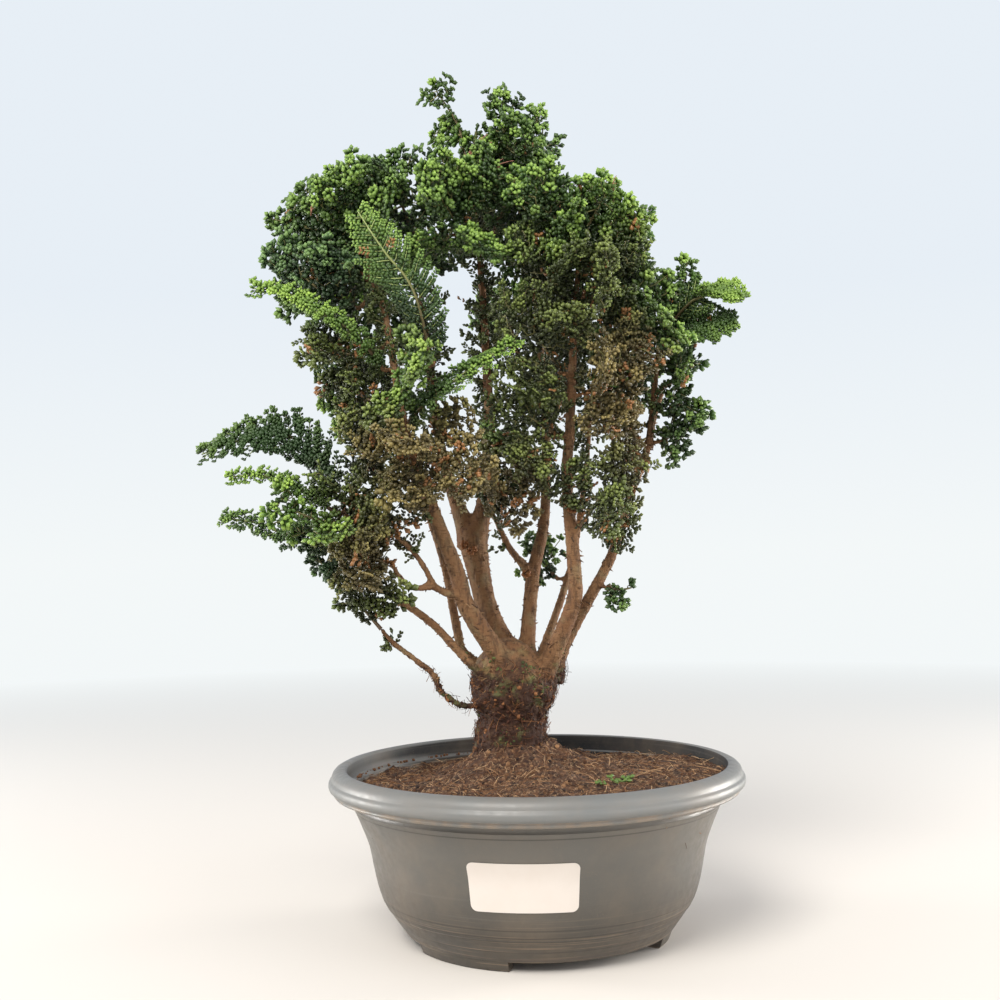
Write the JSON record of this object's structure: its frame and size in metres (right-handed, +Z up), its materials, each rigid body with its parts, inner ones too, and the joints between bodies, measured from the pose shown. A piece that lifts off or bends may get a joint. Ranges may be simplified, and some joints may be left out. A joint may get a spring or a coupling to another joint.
{
  "type": "potted bonsai tree",
  "caption": "Small cypress bonsai with a bush of leafy sprays on many limbs, standing in soil in a round footed pot with a plain sticker.",
  "frame": {"origin": "middle of the whole object's box, on the surface that the pot's feet stand on", "axes": "+Z up along the tree; -Y towards the viewer and the sticker, +X to the viewer's right"},
  "size_m": [0.2942, 0.22, 0.4589],
  "materials": {
    "pot_plastic": "satin blue-grey moulded plastic, dusty with soil along the rims and the foot",
    "label_paper": "plain off-white sticker with rounded corners, matt",
    "soil_peat": "brown fibrous peat, rough and crumbly",
    "bark": "shaggy red-brown bark on the trunk, tan and scaly on the limbs",
    "leaf_bright": "cypress foliage, light green fresh growth, matt",
    "leaf_green": "cypress foliage, mid green, pale at the tips, matt",
    "leaf_dark": "cypress foliage, deep green inner growth, matt",
    "leaf_blue": "cypress foliage, blue-green, pale at the tips, matt",
    "leaf_olive": "cypress foliage, dull olive, old inner growth, matt",
    "leaf_brown": "cypress foliage, olive brown, ageing inner growth with orange scales, matt"
  },
  "bodies": {
    "root": {"pot": "pot_plastic", "label": "label_paper", "soil": "soil_peat", "wood": "bark", "spray_fern_frond": "leaf_bright", "spray_long_frond": "leaf_bright", "spray_centre_frond": "leaf_bright", "spray_arm_upper": "leaf_green", "spray_arm_middle": "leaf_bright", "spray_arm_lower": "leaf_green", "spray_right_arm_upper": "leaf_bright", "spray_right_arm_lower": "leaf_green", "spray_top_tip": "leaf_bright", "spray_top_centre": "leaf_green", "spray_top_right": "leaf_green", "spray_upper_left_inner": "leaf_dark", "spray_upper_left": "leaf_green", "spray_left_sprig": "leaf_green", "spray_left_outer": "leaf_dark", "spray_left_low": "leaf_blue", "spray_left_olive_upper": "leaf_olive", "spray_left_olive_lower": "leaf_olive", "spray_left_olive_bottom": "leaf_olive", "spray_centre_bright": "leaf_bright", "spray_hanging": "leaf_brown", "spray_hanging_left": "leaf_brown", "spray_arm_bright": "leaf_bright", "spray_rosette": "leaf_olive", "spray_left_mass": "leaf_blue", "spray_low_hanging": "leaf_olive", "spray_fork_tip": "leaf_olive", "spray_fork_twig_tip": "leaf_brown", "spray_sleeve_left_low": "leaf_olive", "spray_sleeve_left_mid": "leaf_olive", "spray_sleeve_left_top": "leaf_olive", "spray_sleeve_right_top": "leaf_olive", "spray_sleeve_right_low": "leaf_brown", "spray_bright_top": "leaf_bright", "spray_bright_top_left": "leaf_green", "spray_face_left": "leaf_green", "spray_face_right": "leaf_green", "spray_right_crown_top": "leaf_green", "spray_right_crown_side": "leaf_green", "spray_right_sprig": "leaf_bright", "spray_right_mid": "leaf_green", "spray_right_low": "leaf_green", "spray_right_lower": "leaf_dark", "spray_right_hang": "leaf_brown", "spray_between": "leaf_olive", "spray_low_sprig": "leaf_dark", "spray_dark_sprig": "leaf_dark", "spray_centre_low_left": "leaf_brown", "spray_centre_low_right": "leaf_dark", "spray_back_top": "leaf_dark", "spray_back_top_left": "leaf_dark", "spray_back_left_upper": "leaf_green", "spray_back_left_low": "leaf_green", "spray_back_right_upper": "leaf_green", "spray_back_right_low": "leaf_dark", "spray_back_middle": "leaf_green"}
  },
  "joints": []
}
